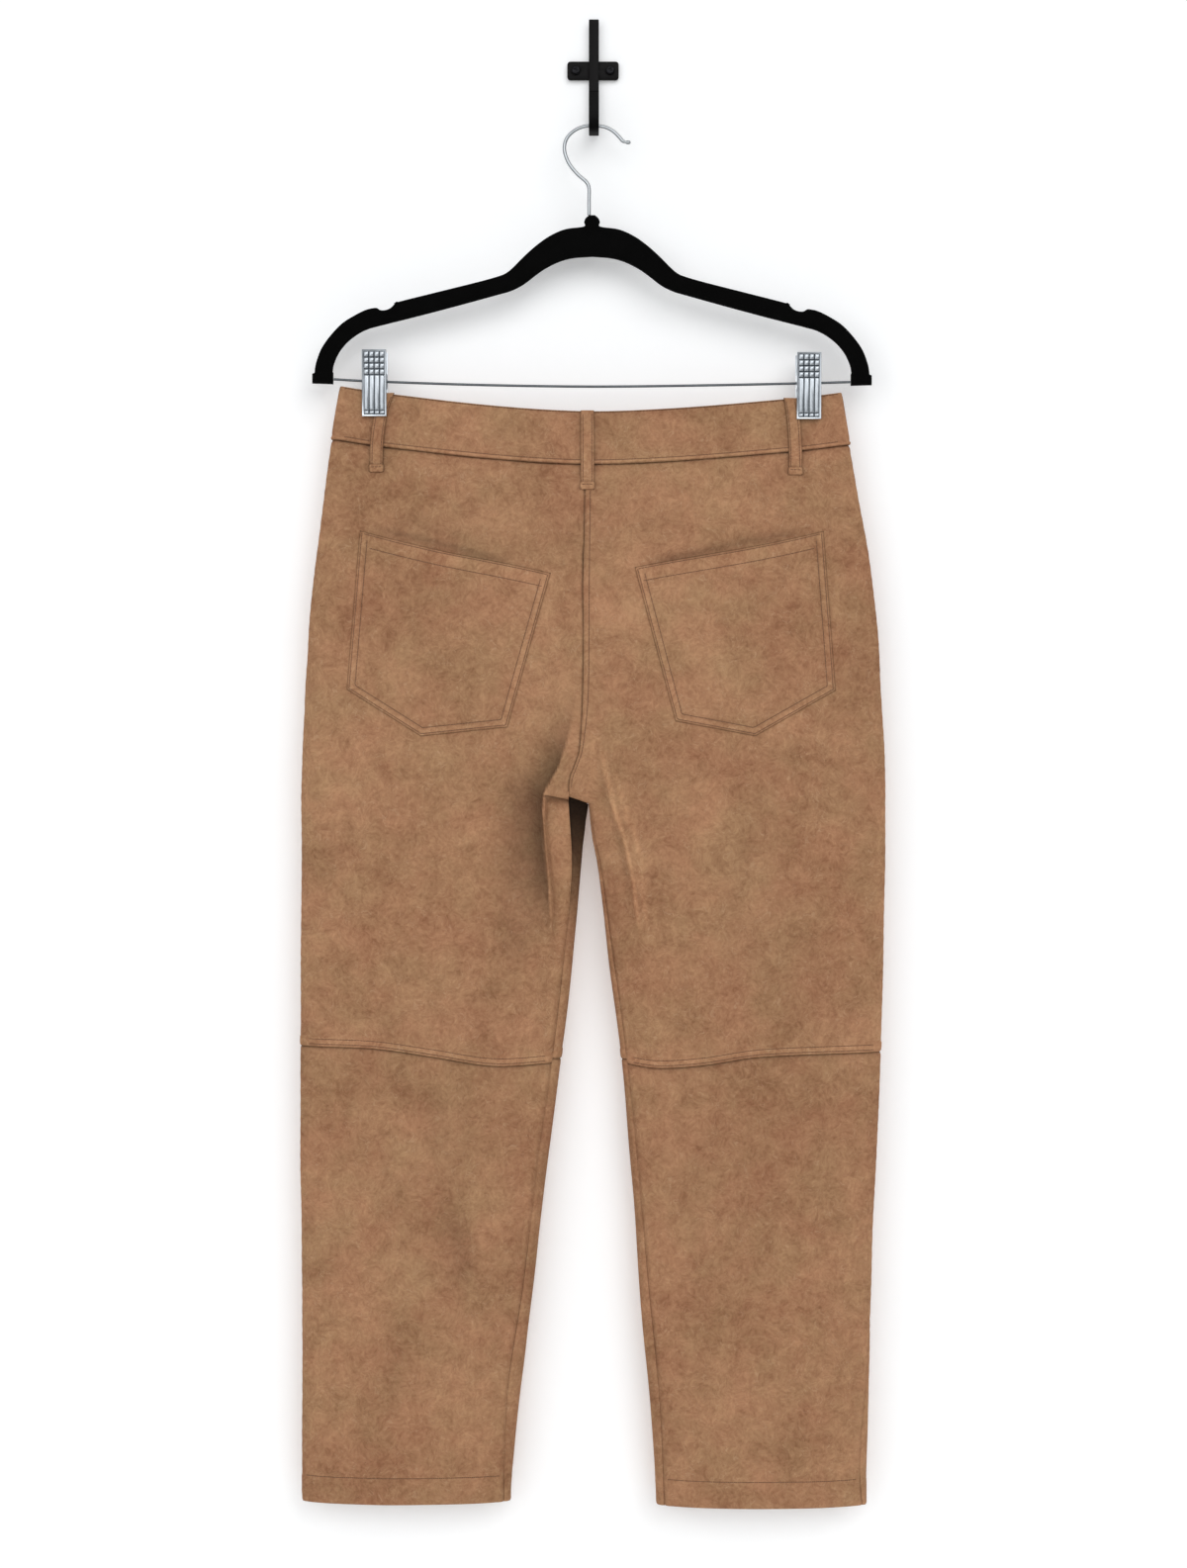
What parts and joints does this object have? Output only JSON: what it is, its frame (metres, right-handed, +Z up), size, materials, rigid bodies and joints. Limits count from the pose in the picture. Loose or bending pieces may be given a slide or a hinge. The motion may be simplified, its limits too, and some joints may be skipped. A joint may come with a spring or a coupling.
{
  "type": "trousers on clip hanger with wall hook",
  "caption": "Suede-look trousers clipped by the waistband to a slim hanger on a wall hook, seen from the back, with patch pockets, belt loops and seamed knees.",
  "frame": {"origin": "middle of the wall plate's back face, where it meets the wall", "axes": "+Y into the wall, +X to the right of a viewer who faces the wall, +Z up"},
  "size_m": [0.4667, 0.0536, 1.1895],
  "materials": {
    "suede": "brushed nap, matt",
    "flock": "black flocked, matt",
    "plated_steel": "bright plated",
    "black_iron": "satin black paint",
    "button_metal": "dark brushed"
  },
  "bodies": {
    "root": {"back_upper_left": "suede", "back_upper_right": "suede", "back_lower_left": "suede", "back_lower_right": "suede", "front_upper_left": "suede", "front_upper_right": "suede", "front_lower_left": "suede", "front_lower_right": "suede", "waistband": "suede", "belt_loop_back_left": "suede", "belt_loop_back_middle": "suede", "belt_loop_back_right": "suede", "belt_loop_front_left": "suede", "belt_loop_front_right": "suede", "back_pocket_left": "suede", "back_pocket_right": "suede", "fly_flap": "suede", "waist_button": "button_metal", "hanger_body": "flock", "hanger_hook": "plated_steel", "hanger_bar": "plated_steel", "clip_left_front_jaw": "plated_steel", "clip_left_back_jaw": "plated_steel", "clip_left_spring": "plated_steel", "clip_right_front_jaw": "plated_steel", "clip_right_back_jaw": "plated_steel", "clip_right_spring": "plated_steel", "wall_plate": "black_iron", "wall_strap": "black_iron", "wall_screw_left": "black_iron", "wall_screw_right": "black_iron"}
  },
  "joints": []
}
